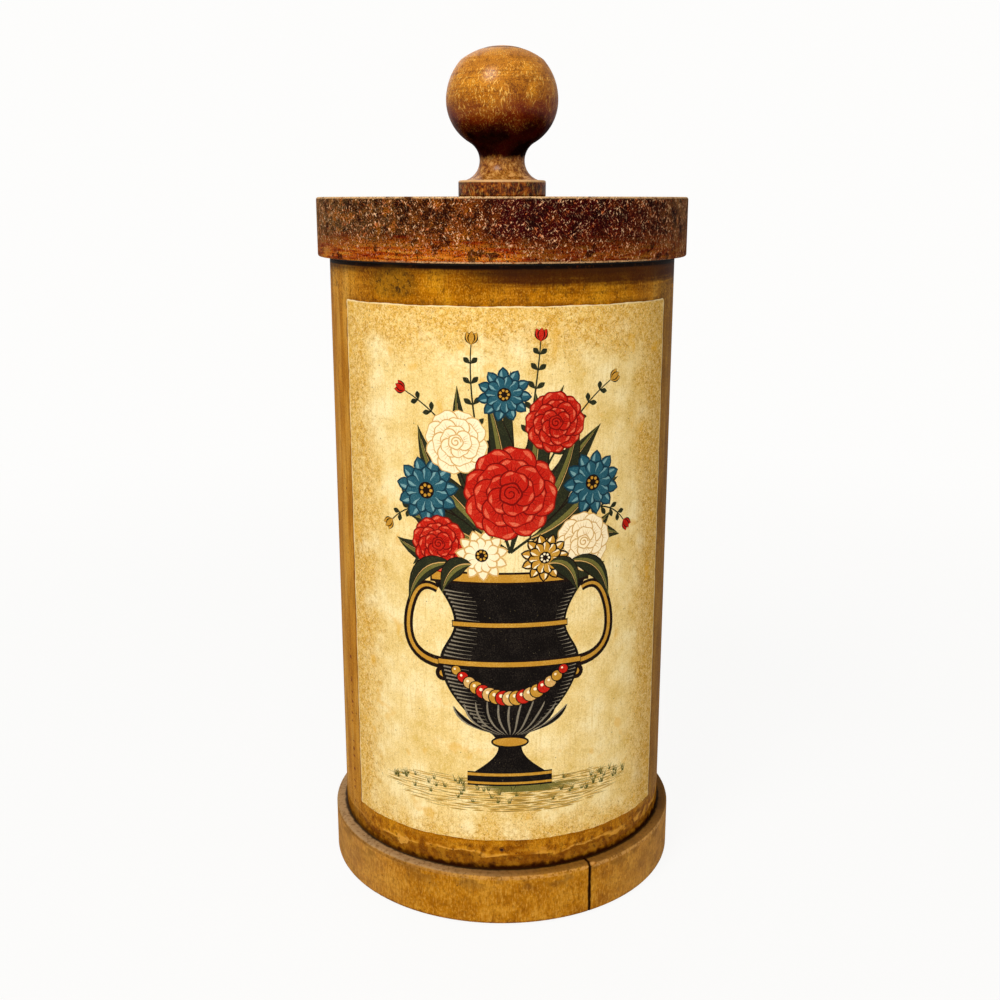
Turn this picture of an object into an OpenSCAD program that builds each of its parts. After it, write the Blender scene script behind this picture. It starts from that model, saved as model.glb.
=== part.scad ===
// Round cigar humidor with a lift-off lid. A turned base and a turned lid close a bent-wood tube
// that carries a pasted paper print. A plug under the lid drops into the mouth of the tube, with a
// ball knob screwed on above it and a small humidifier screwed on below it.
// Millimetres, +Z up, origin at the centre of the foot, front towards -Y.

/* [Tube] */
// Outside diameter of the tube
tube_d = 117.2; // [105:0.2:135]
// Wall of the tube
tube_wall = 3; // [2:0.1:4]
// Length of the tube from base to rim
tube_h = 199; // [160:1:240]

/* [Base] */
// How far the base stands out past the tube
base_ledge = 3.9; // [2.5:0.1:8]
// Thickness of the base board
base_h = 18.5; // [16:0.1:28]
// Easing of the base's edges
base_ease = 1.2; // [0.4:0.1:2]
// Thickness of the disc inside the foot of the tube
base_plug_h = 10; // [9:0.5:16]

/* [Drying crack] */
// Angle of the crack, round from the front towards the right
crack_turn = 28.5; // [0:0.5:360]
// Width of the crack at the rim
crack_w = 0.7; // [0.3:0.1:1.5]
// How far the crack runs in from the rim
crack_depth = 9; // [4:0.5:16]
// Radius of the chip where the crack meets the top edge
chip_r = 1.4; // [0.5:0.1:2.5]

/* [Felt] */
// Thickness of the felt under the base
felt_t = 1.6; // [1:0.1:3]
// How far the felt stands below the base
felt_proud = 0.4; // [0.2:0.1:0.8]
// Bare rim of wood around the felt
felt_margin = 5; // [3:0.5:12]

/* [Lid] */
// How far the lid stands out past the tube
lid_overhang = 3.9; // [2.5:0.1:8]
// Thickness of the lid board
lid_h = 19.2; // [16:0.1:26]
// Easing of the lid's edges
lid_ease = 0.8; // [0.3:0.1:1.5]
// Depth of the plug that drops into the tube
lid_plug_h = 10; // [9:0.5:14]
// Easing of the plug's lower edge
lid_plug_ease = 1; // [0.4:0.1:2]
// Thickness of the cork seal between tube and lid
seal_t = 0.8; // [0.5:0.1:1.5]
// How far the seal lies inside the edges of the tube's rim
seal_inset = 0.4; // [0.2:0.1:0.8]

/* [Knob] */
// Height of the knob above the lid
knob_h = 48.4; // [46.5:0.1:49.5]
// Diameter of the ball
ball_d = 37.4; // [34:0.2:42]
// Height of the ball's widest ring above the lid
ball_z = 31.2; // [30:0.1:33]
// Radius of the curve under the ball's widest ring
belly_r = 15.5; // [13:0.1:16.5]
// Diameter of the neck
neck_d = 15.2; // [12:0.1:18]
// Radius of the cove between ball and collar
cove_r = 6.7; // [6.4:0.1:7.4]
// Diameter of the collar on the lid
collar_d = 29.6; // [28:0.2:36]
// Thickness of the collar
collar_h = 5.5; // [5:0.1:6.5]
// Easing of the collar's edges
collar_ease = 0.7; // [0.3:0.1:1.5]
// Radius of the flatter crown on top of the ball
crown_r = 23.2; // [21:0.1:27]
// Diameter of the ring scored into the crown
score_d = 13.2; // [8:0.2:18]
// Depth of the scored ring
score_depth = 0.35; // [0.2:0.05:0.6]

/* [Print] */
// Width of the paper, measured round the tube
print_w = 123; // [60:1:160]
// Thickness of the paper
print_t = 0.3; // [0.15:0.05:0.6]
// Height of the paper's lower edge above the base
print_rise = 10.7; // [9:0.1:12]
// Bare band of tube between the paper's upper edge and the rim
print_drop = 11.7; // [2:0.1:60]
// Angle of the paper's centre, round from the front towards the right
print_turn = 2.6; // [-20:0.1:20]

/* [Lining] */
// Thickness of the cedar sleeve
lining_t = 1.5; // [0.8:0.1:3]
// Thickness of the cedar floor
floor_t = 1.6; // [1:0.1:4]
// Gap between the sleeve and the lid's plug
lining_drop = 0.8; // [0.4:0.1:3]

/* [Humidifier] */
// Outside diameter of the cup
cup_d = 60; // [52:1:72]
// Depth of the cup
cup_h = 9; // [8:0.5:12]
// Sheet that the cup and its cover are pressed from
sheet_t = 0.8; // [0.5:0.1:1.2]
// How far the cover's skirt reaches up the cup
skirt_h = 6; // [4:0.5:7]
// Gap between the clay and the cover
clay_gap = 0.8; // [0.4:0.1:1.5]
// Diameter of a vent hole
vent_d = 3.4; // [2:0.2:4.5]
// Distance between rings of vent holes
vent_pitch = 7; // [6:0.5:10]
// Unpierced rim around the vent holes
vent_rim = 4; // [2:0.5:8]

/* [Knob screw] */
// Diameter of the screw that holds the knob
knob_screw_d = 4.2; // [3:0.1:5]
// How far the screw reaches into the knob
knob_screw_bite = 20; // [12:0.5:28]
// Diameter of the screw's head
knob_head_d = 8.4; // [7:0.1:10]
// Height of the screw's head
knob_head_h = 2.8; // [2:0.1:3.4]
// Diameter of the washer under the head
washer_d = 13; // [11:0.5:18]
// Thickness of the washer
washer_t = 1; // [0.6:0.1:1.6]
// Gap around the washer and over the head
counterbore_gap = 0.6; // [0.3:0.1:1]

/* [Cup screws] */
// Number of screws that hold the cup
cup_screws = 3; // [2:1:6]
// Diameter of the circle that they lie on
cup_screw_circle = 42; // [32:1:46]
// Diameter of a cup screw
cup_screw_d = 3; // [2:0.1:3.6]
// How far a cup screw reaches into the plug
cup_screw_bite = 6.5; // [4:0.5:7.5]
// Diameter of a cup screw's head
cup_head_d = 5.6; // [4.5:0.1:7]
// Height of a cup screw's head
cup_head_h = 1.6; // [1:0.1:2.2]

/* [Base screws] */
// Number of screws under the felt
base_screws_n = 3; // [2:1:6]
// Diameter of the circle that they lie on
base_screw_circle = 66; // [40:1:80]
// Diameter of a base screw
base_screw_d = 4; // [3:0.1:5]
// How far a base screw reaches into the disc above the base
base_screw_bite = 7; // [4:0.5:8]
// Diameter of a base screw's countersunk head
base_head_d = 8; // [6.5:0.1:10]

/* [Brads] */
// Number of brads through the foot of the tube
brads_n = 4; // [3:1:12]
// Diameter of a brad
brad_d = 1.6; // [1:0.1:2]
// Length of a brad
brad_l = 14; // [8:0.5:20]
// Height of the brads above the base
brad_rise = 7.3; // [3:0.1:7.8]
// How far a brad stands out of the tube
brad_proud = 0.2; // [0.1:0.05:0.5]

/* [Clearances] */
// Gap of a glued face or a driven fastener
glue_gap = 0.1; // [0.05:0.01:0.2]
// Gap between the lid's plug and the tube
plug_gap = 0.4; // [0.3:0.05:0.8]
// Gap between the cup and the skirt of its cover
cover_gap = 0.25; // [0.15:0.05:0.5]

/* [Hidden] */
$fn = 96;
// Overshoot of a cut past the face that it opens
cut = 1;
// Easing of an edge that is left crisp
crisp = 0.05;
// Shares of a screw head: its slot's width of its diameter, its slot's depth and its easing of its height
slot_share = 0.14;
slot_depth_share = 0.45;
head_ease_share = 0.4;

tube_r = tube_d / 2;
tube_ir = tube_r - tube_wall;
base_r = tube_r + base_ledge;
lid_r = tube_r + lid_overhang;
felt_r = base_r - felt_margin;
felt_recess = felt_t - felt_proud;

// Heights of the seats, from the foot up
base_top = felt_proud + base_h;
floor_seat = base_top + base_plug_h;
floor_top = floor_seat + floor_t;
rim_z = base_top + tube_h;
lid_z = rim_z + seal_t;
lid_top = lid_z + lid_h;
plug_z = lid_z - lid_plug_h;
cup_rim_z = plug_z - cup_h;

base_plug_r = tube_ir - glue_gap;
lid_plug_r = tube_ir - plug_gap;
cup_r = cup_d / 2;
cover_ir = cup_r + cover_gap;
cover_r = cover_ir + sheet_t;

// Knob: the arc under the ball's widest ring meets it there, and the cove meets that arc in turn
ball_r = ball_d / 2;
belly_x = ball_r - belly_r;
cove_x = neck_d / 2 + cove_r;
cove_z = ball_z - sqrt(pow(belly_r + cove_r, 2) - pow(cove_x - belly_x, 2));
cove_share = cove_r / (cove_r + belly_r);
join_x = cove_x + (belly_x - cove_x) * cove_share;
join_z = cove_z + (ball_z - cove_z) * cove_share;
crown_z = knob_h - crown_r;
score_z = crown_z + sqrt(pow(crown_r, 2) - pow(score_d / 2, 2));

// Knob screw: its head and washer lie in a counterbore in the plug
knob_seat_z = plug_z + counterbore_gap + knob_head_h + washer_t;
knob_screw_l = lid_top + knob_screw_bite - knob_seat_z + washer_t;

print_angle = print_w / tube_r * 180 / PI;
print_h = tube_h - print_rise - print_drop;
base_head_h = (base_head_d - base_screw_d) / 2;
base_screw_z = felt_proud + felt_recess;
base_screw_l = base_top + base_screw_bite - base_screw_z;
vent_rings = floor((cover_ir - vent_rim - vent_d / 2) / vent_pitch);

// Half section of a turned disc, with its two outer edges rounded
module disc_section(r, h, lower_ease, upper_ease) {
    translate([0, lower_ease]) square([r, h - lower_ease - upper_ease]);
    square([r - lower_ease, h / 2]);
    translate([0, h / 2]) square([r - upper_ease, h / 2]);
    translate([r - lower_ease, lower_ease]) circle(lower_ease);
    translate([r - upper_ease, h - upper_ease]) circle(upper_ease);
}

module turned_disc(r, h, lower_ease, upper_ease) {
    rotate_extrude() disc_section(r, h, lower_ease, upper_ease);
}

module ring(outer_r, inner_r, h) {
    difference() {
        cylinder(r = outer_r, h = h);
        translate([0, 0, -cut]) cylinder(r = inner_r, h = h + 2 * cut);
    }
}

// Copies its children round the axis, the first one at the front
module around(count, radius) {
    for (i = [0 : count - 1])
        rotate([0, 0, i * 360 / count]) translate([0, -radius, 0]) children();
}

// Shank of a wood screw that points up from the origin, with a drawn point
module shank(d, l, gap = 0) {
    cylinder(d = d + 2 * gap, h = l - d);
    translate([0, 0, l - d]) cylinder(d1 = d + 2 * gap, d2 = d / 4, h = d);
}

// Screwdriver slot, cut upwards from the origin into a head of this diameter and height
module head_slot(d, h) {
    translate([-d, -d * slot_share / 2, -cut]) cube([2 * d, d * slot_share, h * slot_depth_share + cut]);
}

// Wood screw with a flat round head below the origin
module pan_screw(d, l, head_d, head_h) {
    difference() {
        union() {
            shank(d, l);
            translate([0, 0, -head_h]) turned_disc(head_d / 2, head_h, head_h * head_ease_share, crisp);
        }
        translate([0, 0, -head_h]) head_slot(head_d, head_h);
    }
}

// Countersunk wood screw whose face lies at the origin
module flat_screw(d, l, head_d, head_h, gap = 0) {
    shank(d, l, gap);
    cylinder(d1 = head_d + 2 * gap, d2 = d + 2 * gap, h = head_h);
}

module brad(gap = 0) {
    translate([0, -brad_proud, 0]) rotate([-90, 0, 0]) cylinder(d = brad_d + 2 * gap, h = brad_l);
}

module all_brads(gap = 0) {
    translate([0, 0, base_top + brad_rise]) around(brads_n, tube_r) brad(gap);
}

module drying_crack() {
    rotate([0, 0, crack_turn]) translate([0, -base_r, 0]) {
        linear_extrude(base_top + cut)
            polygon([[-crack_w / 2, 0], [-crack_w / 2, -cut], [crack_w / 2, -cut], [crack_w / 2, 0],
                     [0, crack_depth]]);
        translate([chip_r, 0, base_top]) sphere(chip_r);
    }
}

module base_disc() {
    color("#a8752f") difference() {
        translate([0, 0, felt_proud]) turned_disc(base_r, base_h, base_ease, base_ease);
        translate([0, 0, felt_proud - cut]) cylinder(r = felt_r + glue_gap, h = felt_recess + cut);
        translate([0, 0, base_screw_z]) around(base_screws_n, base_screw_circle / 2)
            flat_screw(base_screw_d, base_screw_l, base_head_d, base_head_h, glue_gap);
        drying_crack();
    }
}

module base_plug() {
    color("#c79a5b") difference() {
        translate([0, 0, base_top]) cylinder(r = base_plug_r, h = base_plug_h);
        translate([0, 0, base_screw_z]) around(base_screws_n, base_screw_circle / 2)
            shank(base_screw_d, base_screw_l, glue_gap);
        all_brads(glue_gap);
    }
}

module base_screws() {
    color("#8c8a84") translate([0, 0, base_screw_z]) around(base_screws_n, base_screw_circle / 2)
        difference() {
            flat_screw(base_screw_d, base_screw_l, base_head_d, base_head_h);
            head_slot(base_head_d, base_head_h);
        }
}

module base_felt() {
    color("#3d4a33") cylinder(r = felt_r, h = felt_t);
}

module body_tube() {
    color("#c58a2c") difference() {
        translate([0, 0, base_top]) ring(tube_r, tube_ir, tube_h);
        all_brads(glue_gap);
    }
}

module tube_brads() {
    color("#3a2c1c") all_brads();
}

module print_sheet() {
    color("#f0dba6") translate([0, 0, base_top + print_rise])
        rotate([0, 0, print_turn - 90 - print_angle / 2]) rotate_extrude(angle = print_angle)
            translate([tube_r + glue_gap, 0]) square([print_t, print_h]);
}

module cedar_lining() {
    lining_r = tube_ir - glue_gap;
    color("#b5713f") translate([0, 0, floor_top])
        ring(lining_r, lining_r - lining_t, plug_z - lining_drop - floor_top);
}

module cedar_floor() {
    color("#b9784a") translate([0, 0, floor_seat]) cylinder(r = tube_ir - glue_gap, h = floor_t);
}

module lid_disc() {
    color("#5a3015") difference() {
        translate([0, 0, lid_z]) turned_disc(lid_r, lid_h, lid_ease, lid_ease);
        translate([0, 0, lid_z - cut]) cylinder(d = knob_screw_d + 2 * glue_gap, h = lid_h + 2 * cut);
    }
}

module lid_plug() {
    color("#c79a5b") difference() {
        translate([0, 0, plug_z]) turned_disc(lid_plug_r, lid_plug_h, lid_plug_ease, crisp);
        translate([0, 0, plug_z - cut]) cylinder(d = knob_screw_d + 2 * glue_gap, h = lid_plug_h + 2 * cut);
        translate([0, 0, plug_z - cut])
            cylinder(d = washer_d + 2 * counterbore_gap, h = knob_seat_z - plug_z + cut);
        translate([0, 0, plug_z - cut]) around(cup_screws, cup_screw_circle / 2)
            shank(cup_screw_d, cup_screw_bite + cut, glue_gap);
    }
}

module lid_seal() {
    color("#4a3423") translate([0, 0, rim_z])
        ring(tube_r - seal_inset, tube_ir + seal_inset, seal_t);
}

// Half section of the knob, from tangent arcs
module knob_section() {
    disc_section(collar_d / 2, collar_h, collar_ease, collar_ease);
    difference() {
        polygon([[0, collar_h], [cove_x, collar_h], [cove_x, cove_z], [join_x, join_z], [0, join_z]]);
        translate([cove_x, cove_z]) circle(cove_r);
    }
    intersection() {
        translate([belly_x, ball_z]) circle(belly_r);
        translate([0, ball_z - belly_r]) square([ball_r, belly_r]);
    }
    intersection() {
        translate([0, ball_z]) circle(ball_r);
        translate([0, crown_z]) circle(crown_r);
        translate([0, ball_z]) square([ball_r, knob_h]);
    }
}

module knob() {
    color("#bd7d2d") translate([0, 0, lid_top]) difference() {
        rotate_extrude() difference() {
            knob_section();
            translate([score_d / 2, score_z]) circle(score_depth);
        }
        translate([0, 0, -cut]) shank(knob_screw_d, knob_screw_bite + cut, glue_gap);
    }
}

module knob_screw() {
    color("#8c8a84") translate([0, 0, knob_seat_z - washer_t])
        pan_screw(knob_screw_d, knob_screw_l, knob_head_d, knob_head_h);
}

module knob_washer() {
    color("#9a988f") translate([0, 0, knob_seat_z - washer_t])
        ring(washer_d / 2, knob_screw_d / 2 + glue_gap, washer_t);
}

module humidifier_cup() {
    color("#b08d45") difference() {
        translate([0, 0, cup_rim_z]) cylinder(r = cup_r, h = cup_h);
        translate([0, 0, cup_rim_z - cut]) cylinder(r = cup_r - sheet_t, h = cup_h - sheet_t + cut);
        translate([0, 0, plug_z - sheet_t - cut]) around(cup_screws, cup_screw_circle / 2)
            cylinder(d = cup_screw_d + 2 * glue_gap, h = sheet_t + 2 * cut);
    }
}

module humidifier_screws() {
    color("#a5905a") translate([0, 0, plug_z - sheet_t]) around(cup_screws, cup_screw_circle / 2)
        pan_screw(cup_screw_d, cup_screw_bite + sheet_t, cup_head_d, cup_head_h);
}

module humidifier_clay() {
    clay_z = cup_rim_z + clay_gap;
    color("#a3563a") translate([0, 0, clay_z])
        cylinder(r = cup_r - sheet_t - glue_gap, h = plug_z - sheet_t - cup_head_h - clay_z);
}

module humidifier_cover() {
    color("#c2a04e") difference() {
        translate([0, 0, cup_rim_z - sheet_t]) turned_disc(cover_r, skirt_h + sheet_t, sheet_t, crisp);
        translate([0, 0, cup_rim_z]) cylinder(r = cover_ir, h = skirt_h + cut);
        translate([0, 0, cup_rim_z - sheet_t - cut]) {
            cylinder(d = vent_d, h = sheet_t + 2 * cut);
            for (ring_n = [1 : vent_rings])
                around(6 * ring_n, ring_n * vent_pitch) cylinder(d = vent_d, h = sheet_t + 2 * cut);
        }
    }
}

base_disc();
base_plug();
base_screws();
base_felt();
body_tube();
tube_brads();
print_sheet();
cedar_lining();
cedar_floor();
lid_disc();
lid_plug();
lid_seal();
knob();
knob_screw();
knob_washer();
humidifier_cup();
humidifier_screws();
humidifier_clay();
humidifier_cover();
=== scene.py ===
"""Looks of a round cigar humidor with a pasted print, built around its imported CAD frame.

Metres, +Z up, front towards -Y. Materials and the print are worked out in millimetres."""
import random
from math import asin, atan2, cos, log, pi, radians, sin, sqrt

import bmesh
import bpy
import numpy as np
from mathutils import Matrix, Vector
from mathutils.geometry import delaunay_2d_cdt


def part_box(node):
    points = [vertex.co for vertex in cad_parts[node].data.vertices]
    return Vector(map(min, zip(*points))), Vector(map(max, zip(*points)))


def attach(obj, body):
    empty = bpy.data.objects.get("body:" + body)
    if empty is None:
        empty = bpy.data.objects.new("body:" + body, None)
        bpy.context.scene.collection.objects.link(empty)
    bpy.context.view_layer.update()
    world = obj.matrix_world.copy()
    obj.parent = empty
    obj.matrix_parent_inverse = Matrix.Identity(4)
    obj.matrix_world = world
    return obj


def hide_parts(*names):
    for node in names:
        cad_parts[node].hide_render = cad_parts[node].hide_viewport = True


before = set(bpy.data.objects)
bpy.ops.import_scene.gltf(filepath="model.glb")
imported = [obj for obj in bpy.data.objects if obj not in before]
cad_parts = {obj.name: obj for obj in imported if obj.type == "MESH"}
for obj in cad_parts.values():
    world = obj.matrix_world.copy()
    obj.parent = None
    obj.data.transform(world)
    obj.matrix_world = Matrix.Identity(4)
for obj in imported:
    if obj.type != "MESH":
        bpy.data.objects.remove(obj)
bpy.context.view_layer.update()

MM = 0.001

# How far one step of its seed moves a noise off
SEED_STEP = (7.31, 3.17, 5.53)

# Camera, fitted to the photograph
CAMERA_PLACE = (0.0, -0.4214, 0.2366)
CAMERA_DOWN = radians(13.933)
CAMERA_LEFT = radians(0.0975)
FOCAL_PIXELS = 1205
IMAGE_PIXELS = 1000
SENSOR_MM = 36.0
CAMERA_NEAR = 0.01


def box_mm(node):
    """Low and high corner of a node's box, each as three lengths in millimetres."""
    return [[length / MM for length in corner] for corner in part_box(node)]


# Heights and radii of the frame that the finishes follow
(_, _, BASE_LOW), (BASE_R, _, BASE_TOP) = box_mm("base_disc")
_, (TUBE_R, _, RIM) = box_mm("body_tube")
(_, _, LID_LOW), (LID_R, _, LID_TOP) = box_mm("lid_disc")
_, (KNOB_R, _, _) = box_mm("knob")
_, (FELT_R, _, FELT_T) = box_mm("base_felt")

# Paper: its ends round the tube, in radians from the front towards +X, and its sizes
(low_x, low_y, PAPER_LOW), (high_x, _, high_z) = box_mm("print_sheet")
PAPER_R = -low_y
PAPER_H = high_z - PAPER_LOW
PAPER_LEFT = asin(low_x / PAPER_R)
PAPER_RIGHT = asin(high_x / PAPER_R)
PAPER_TURN = (PAPER_LEFT + PAPER_RIGHT) / 2
PAPER_W = (PAPER_RIGHT - PAPER_LEFT) * TUBE_R
# Rounding of its corners, step of the points along its cuts, and how far in the cuts lie
PAPER_CORNER = 0.8
PAPER_STEP = 1.7
PAPER_CUT = 0.17
# Width of the strips that the wrapped print bends in, the paste's gap under it, and the seed of its strokes
PRINT_STRIP = 1.5
PASTE_GAP = 0.02
PRINT_SEED = 11
# Points of the print that lie closer than this are one, and edges bent more than this are sharp
PRINT_MERGE = 1e-4
SHARP_ANGLE = radians(35)

# Radius of the ring scored into the knob's crown, and height of the brads above the base
SCORE_R = 6.9
BRAD_RISE = 7.3
# Knob above the lid: top and radius of its collar, top of its neck, and foot of its crown
COLLAR_TOP, COLLAR_R = 5.0, 14.0
KNOB_NECK = 12.6
CROWN_LOW = 42.0
# Marks on the tube, round from the front towards +X: a stain at a depth below the rim, and a chip at a height
# above the base
STAIN = (-36.0, 5.5)
CHIP = (-37.0, 5.2)
# Drying crack in the base, round from the front towards +X
CRACK_TURN = radians(28.5)

# Felt: its rings and spokes, how much its edge wanders and lifts, how uneven its faces are, how far their
# middles lie in, and its seed
FELT_RINGS, FELT_SPOKES = 28, 120
FELT_FRAY, FELT_EDGE, FELT_NAP = 0.12, 0.25, 0.05
FELT_MIDDLE = 0.03
FELT_SEED = 5

# Stage: white of the surroundings, the floor's half width, drop, grey and share of white from near to far,
# light of the world on the part, and what the lamps aim at
BACKDROP = (0.985, 0.98, 0.97)
FLOOR_HALF = 4.0
FLOOR_DROP = 0.1 * MM
FLOOR_GREY = (0.82, 0.81, 0.79)
FLOOR_NEAR, FLOOR_FAR = 0.2, 0.8
WHITE_NEAR, WHITE_FAR = 0.94, 1.0
WORLD_LIGHT = 0.29
LAMP_AIM = Vector((0, 0, 0.14))
# Lamps: place, size, power, and whether reflections show them
LAMPS = {
    "key": ((-0.36, -0.60, 0.98), 0.4, 8.4, True),
    "front": ((0.20, -1.15, 0.42), 0.8, 4.7, False),
    "back": ((-0.35, 1.05, 0.80), 0.9, 3.0, True),
}


def srgb(tone):
    """Linear colour of an sRGB tone that is given from 0 to 255."""
    return tuple(((c / 255 + 0.055) / 1.055) ** 2.4 if c > 10 else c / 255 / 12.92 for c in tone)


class Value:
    """One output of a node, which adds, subtracts and multiplies as a number does."""

    def __init__(self, nodes, socket):
        self.nodes = nodes
        self.socket = socket

    def __add__(self, other):
        return self.nodes.math("ADD", self, other)

    def __sub__(self, other):
        return self.nodes.math("SUBTRACT", self, other)

    def __rsub__(self, other):
        return self.nodes.math("SUBTRACT", other, self)

    def __mul__(self, other):
        return self.nodes.math("MULTIPLY", self, other)

    def __abs__(self):
        return self.nodes.math("ABSOLUTE", self)

    __radd__ = __add__
    __rmul__ = __mul__

    def sway(self, reach):
        """A noise about its middle, as part of the reach it moves things by."""
        return (self - 0.5) * reach

    def fade(self, off, on):
        """0 at off and before it, 1 at on and past it, with a smooth step between."""
        inputs = {"Value": self, "From Min": off, "From Max": on}
        return self.nodes.value("MapRange", inputs, interpolation_type="SMOOTHSTEP")

    def ramp(self, *stops):
        """Colour along the value, from stops of (value, tone) in rising order."""
        node = self.nodes.add("ValToRGB", {0: self})
        elements = node.color_ramp.elements
        for element, (position, tone) in zip(elements, (stops[0], stops[-1])):
            element.position = position
            element.color = (*srgb(tone), 1.0)
        for position, tone in stops[1:-1]:
            elements.new(position).color = (*srgb(tone), 1.0)
        return Value(self.nodes, node.outputs[0])


class Nodes:
    """Nodes of a material or a world. An input may be a number, a linear colour or a value."""

    def __init__(self, owner):
        owner.use_nodes = True
        self.tree = owner.node_tree

    def put(self, socket, value):
        """Links a value to a socket, or sets the socket's own number or colour."""
        if isinstance(value, Value):
            self.tree.links.new(value.socket, socket)
        elif socket.type == "RGBA":
            socket.default_value = (*value, 1.0)
        else:
            socket.default_value = value

    def add(self, kind, inputs, **settings):
        node = self.tree.nodes.new("ShaderNode" + kind)
        for name, value in settings.items():
            setattr(node, name, value)
        for key, value in inputs.items():
            self.put(node.inputs[key], value)
        return node

    def value(self, kind, inputs, output=0, **settings):
        """One output of a new node."""
        return Value(self, self.add(kind, inputs, **settings).outputs[output])

    def math(self, operation, a, b=0.0):
        return self.value("Math", {0: a, 1: b}, operation=operation)

    def least(self, first, *others):
        for other in others:
            first = self.math("MINIMUM", first, other)
        return first

    def most(self, first, *others):
        for other in others:
            first = self.math("MAXIMUM", first, other)
        return first

    def seen_directly(self):
        """1 for rays that show a surface to the camera, straight, mirrored or through glass."""
        path = self.add("LightPath", {})
        return self.most(*(Value(self, path.outputs["Is %s Ray" % kind])
                           for kind in ("Camera", "Glossy", "Transmission")))


class Paint(Nodes):
    """Nodes of one finish, laid on coat by coat. Lengths are millimetres, tones are sRGB from 0 to 255."""

    def __init__(self, name):
        self.material = bpy.data.materials.new(name)
        super().__init__(self.material)
        metres = self.value("TexCoord", {}, "Object")
        self.place = self.value("VectorMath", {0: metres, "Scale": 1 / MM}, operation="SCALE")
        parts = self.add("SeparateXYZ", {0: self.place})
        self.x, self.y, self.z = (Value(self, output) for output in parts.outputs)
        self.radius = self.math("SQRT", self.x * self.x + self.y * self.y)
        self.turn = self.math("ARCTAN2", self.x, self.y * -1.0)
        self.colour = None

    def wrapped(self, around, slope):
        """The place unrolled from a cylinder of that radius, and sloped: along its arc, outwards, and up."""
        arc = self.turn * around
        return self.value("CombineXYZ", {0: arc + slope * self.z, 1: self.radius, 2: self.z - slope * arc})

    def at_scale(self, size, seed, around=None, slope=0.0):
        """The place in units of size, which is one length or three, moved off by seed."""
        sizes = size if isinstance(size, tuple) else (size, size, size)
        place = self.wrapped(around, slope) if around else self.place
        return self.value("Mapping", {"Vector": place, "Location": tuple(seed * step for step in SEED_STEP),
                                      "Scale": tuple(1 / s for s in sizes)})

    def noise(self, size, seed, detail=2.0, roughness=0.5, distortion=0.0, around=None, slope=0.0):
        """Soft noise, mostly from 0.3 to 0.7, with grains of that size."""
        return self.value("TexNoise", {"Vector": self.at_scale(size, seed, around, slope), "Scale": 1.0,
                                       "Detail": detail, "Roughness": roughness, "Distortion": distortion})

    def curls(self, size, seed, thin, share):
        """1 on short thin curled lines, such as fibres and scuffs. Share is how much of them shows."""
        lines = abs(self.noise(size, seed, detail=1, distortion=1.4) - 0.5)
        kept = self.noise(size, seed + 0.5, detail=1)
        return lines.fade(thin, thin * 0.35) * kept.fade(0.66 - 0.32 * share, 0.74 - 0.32 * share)

    def strokes(self, size, seed, around, slope, least):
        """1 on short strokes that slope round a cylinder, where noise of that size passes the least value."""
        return self.noise(size, seed, detail=1, around=around, slope=slope).fade(least, least + 0.06)

    def dots(self, size, reach, share, seed):
        """1 in round dots on a share of cells of that size. Reach is a dot's radius in cells."""
        cells = self.add("TexVoronoi", {"Vector": self.at_scale(size, seed), "Scale": 1.0})
        spot = Value(self, cells.outputs["Distance"]).fade(reach, reach * 0.55)
        chance = self.value("SeparateColor", {0: Value(self, cells.outputs["Color"])})
        return spot * self.math("LESS_THAN", chance, share)

    def mix(self, share, below, above):
        """Two tones or colours, with that share of the second."""
        below, above = (tone if isinstance(tone, Value) else srgb(tone) for tone in (below, above))
        return self.value("Mix", {0: share, 6: below, 7: above}, 2, data_type="RGBA")

    def lay(self, share, tone):
        """Lays a coat over the colour so far."""
        self.colour = self.mix(share, self.colour, tone)

    def tint(self, value, off, on, share, tone):
        """Lays a coat where a value fades in."""
        self.lay(value.fade(off, on) * share, tone)

    def relief(self, height, depth, under=None):
        """Normals of a relief whose height from 0 to 1 stands for depth, laid over the normals under it."""
        inputs = {"Height": height, "Distance": depth * MM, "Strength": 1.0}
        if under is not None:
            inputs["Normal"] = under
        return self.value("Bump", inputs)

    def finish(self, roughness, normal, **constants):
        inputs = {"Base Color": self.colour, "Roughness": roughness, "Normal": normal}
        inputs.update((name.replace("_", " "), value) for name, value in constants.items())
        for name, value in inputs.items():
            self.put(self.tree.nodes["Principled BSDF"].inputs[name], value)
        return self.material

    def varnish(self, roughness, normal, gloss, gloss_roughness):
        """A finish whose shine is all in a thin coat of varnish."""
        return self.finish(roughness, normal, Specular_IOR_Level=0.0, Coat_Weight=gloss,
                           Coat_Roughness=gloss_roughness)


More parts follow.
